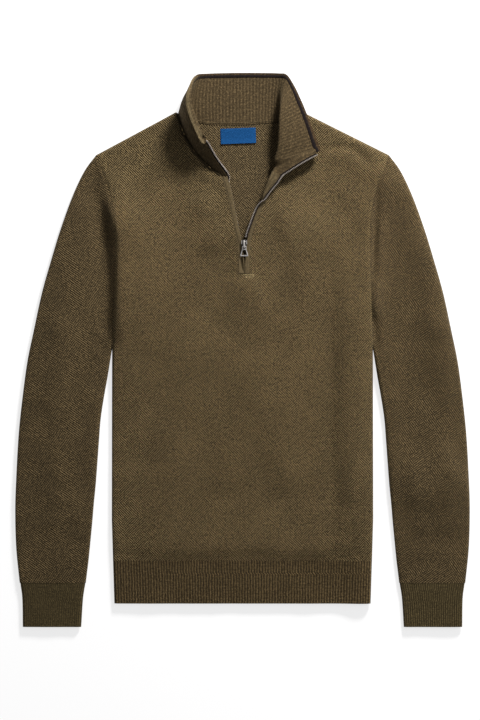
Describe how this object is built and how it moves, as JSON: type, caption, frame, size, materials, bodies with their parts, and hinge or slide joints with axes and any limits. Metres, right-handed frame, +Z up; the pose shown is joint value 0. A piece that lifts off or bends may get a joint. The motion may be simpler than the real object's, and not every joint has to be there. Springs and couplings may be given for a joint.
{
  "type": "quarter zip sweater",
  "caption": "Olive brown knitted quarter zip sweater laid flat, with a ribbed collar lying open, ribbed cuffs and hem, and a metal zip with a swinging pull tab.",
  "frame": {"origin": "middle of the footprint, on the surface that the sweater lies on", "axes": "+Z up, +Y from hem to collar, +X to the viewer's right when looking down on it"},
  "size_m": [0.646, 0.7874, 0.0508],
  "materials": {
    "knit": "diagonal bird's-eye knit",
    "sleeve_knit": "diagonal bird's-eye knit",
    "rib_knit": "rib knit",
    "collar_knit": "rib knit",
    "tipping": "plain dark stripe",
    "band_knit": "smooth knit",
    "tape": "woven tape",
    "teeth_metal": "polished teeth",
    "slider_metal": "polished",
    "label": "woven satin, blank"
  },
  "bodies": {
    "garment": {"front": "knit", "back": "knit", "sleeve_left": "sleeve_knit", "sleeve_right": "sleeve_knit", "cuff_left": "rib_knit", "cuff_right": "rib_knit", "hem_band": "rib_knit", "collar": "collar_knit", "collar_tipping": "tipping", "zip_band_left": "band_knit", "zip_band_right": "band_knit", "zip_tape_left": "tape", "zip_tape_right": "tape", "zip_chain_left": "teeth_metal", "zip_chain_right": "teeth_metal", "zip_slider": "slider_metal", "neck_label": "label"},
    "pull": {"zip_pull": "slider_metal"}
  },
  "joints": [
    {"name": "pull_swing", "type": "hinge", "parent": "garment", "child": "pull", "pos_m": [0.00241, 0.14617, 0.01445], "axis": [-1, 0, 0], "range_deg": [0, 110]}
  ]
}
